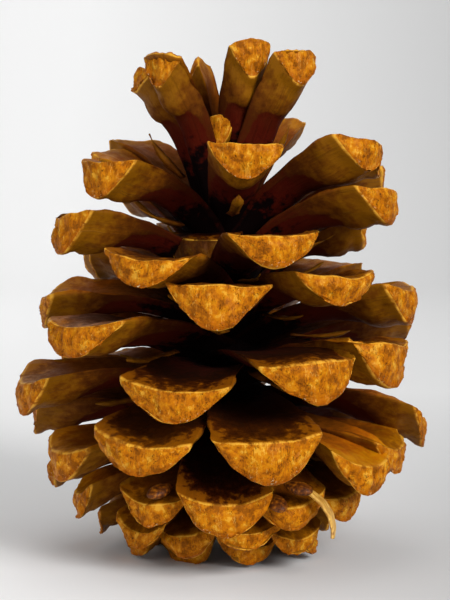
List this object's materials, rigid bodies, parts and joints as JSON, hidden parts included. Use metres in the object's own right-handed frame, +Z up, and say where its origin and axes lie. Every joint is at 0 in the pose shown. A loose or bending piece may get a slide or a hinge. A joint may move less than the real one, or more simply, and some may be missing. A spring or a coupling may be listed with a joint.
{
  "type": "open pine cone",
  "caption": "Open, dry pine cone standing on its base: spread woody scales on a spiral, a hollow crown at the tip, and loose seeds still lodged between the lower scales.",
  "frame": {"origin": "on the surface that the cone stands on, at the middle of its footprint", "axes": "+Z up along the cone's axis from its base to its tip, +X to the right and -Y towards the viewer in the reference view"},
  "size_m": [0.0708, 0.07, 0.0882],
  "materials": {
    "cone_wood": "dry natural wood with a slight resin sheen on the scale ends, golden brown outside and dark brown inside",
    "seed_coat": "smooth, mottled brown seed coat",
    "seed_wing": "thin, papery, translucent tan"
  },
  "bodies": {
    "root": {"pine_cone": "cone_wood", "seed_1": "seed_coat", "seed_2": "seed_coat", "winged_seed": "seed_wing"}
  },
  "joints": []
}
